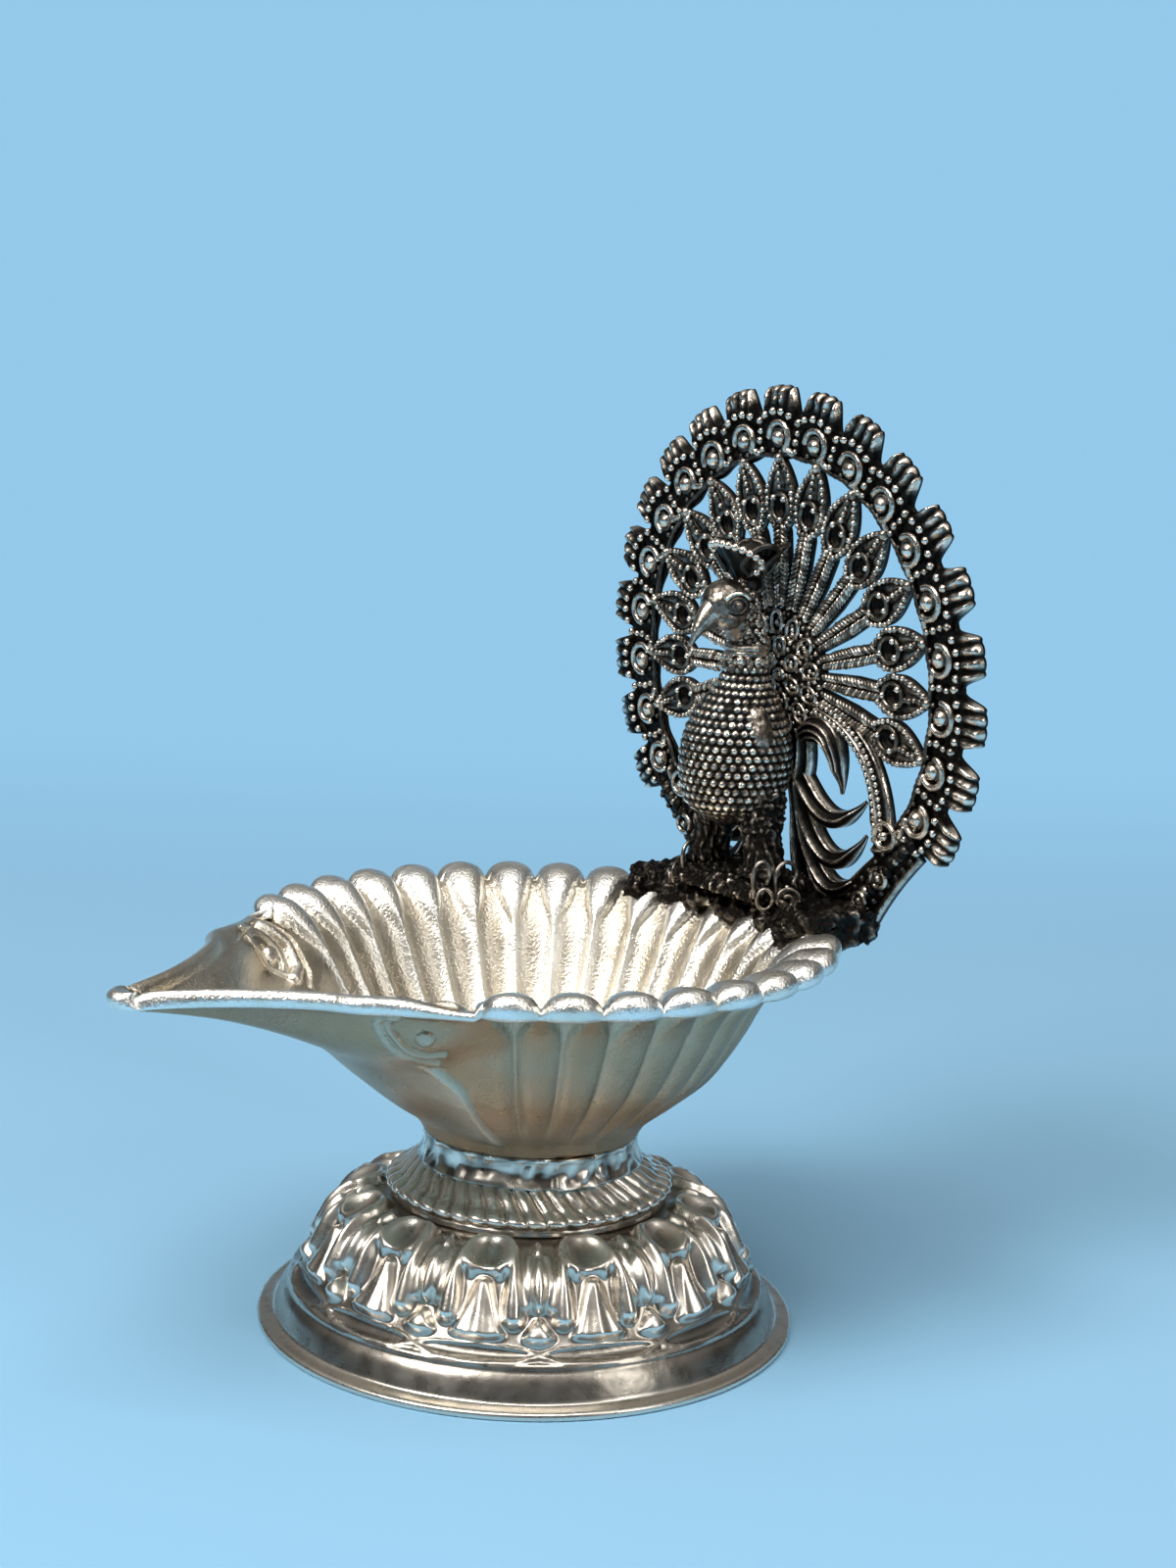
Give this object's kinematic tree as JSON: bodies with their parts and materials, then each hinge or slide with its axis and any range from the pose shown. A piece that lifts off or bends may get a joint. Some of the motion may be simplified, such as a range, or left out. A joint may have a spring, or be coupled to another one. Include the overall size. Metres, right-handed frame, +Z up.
{
  "type": "aarti lamp",
  "caption": "Footed oil lamp with a lobed, fluted bowl, a bird-beak spout and a displayed peacock with an openwork tail on its rear lip.",
  "frame": {"origin": "centre of the foot's flat underside", "axes": "+Z up, the spout points along -Y, the peacock stands at +Y and faces -Y, +X across"},
  "size_m": [0.0686, 0.0899, 0.1075],
  "materials": {
    "polished_sheet": "polished silver-coloured sheet metal with a faint warm tint",
    "satin_sheet": "frosted white satin inside, soft satin outside, bright lobed lip",
    "dark_casting": "oxidised silver-coloured casting, black in its recesses and bright on raised parts",
    "worn_casting": "oxidised casting rubbed bright"
  },
  "bodies": {
    "root": {"foot_shell": "polished_sheet", "ribbed_shoulder": "polished_sheet", "neck_collar": "polished_sheet", "bowl_shell": "satin_sheet", "lip_bracket": "dark_casting", "perch_mound": "dark_casting", "base_scrolls": "worn_casting", "legs": "dark_casting", "body": "dark_casting", "neck_ring": "worn_casting", "head": "worn_casting", "crest": "worn_casting", "tail_ring": "dark_casting", "ring_eyes": "worn_casting", "tail_feathers": "dark_casting", "tail_rosette": "dark_casting", "tail_arms": "dark_casting", "plume_right": "dark_casting", "plume_left": "dark_casting"}
  },
  "joints": []
}
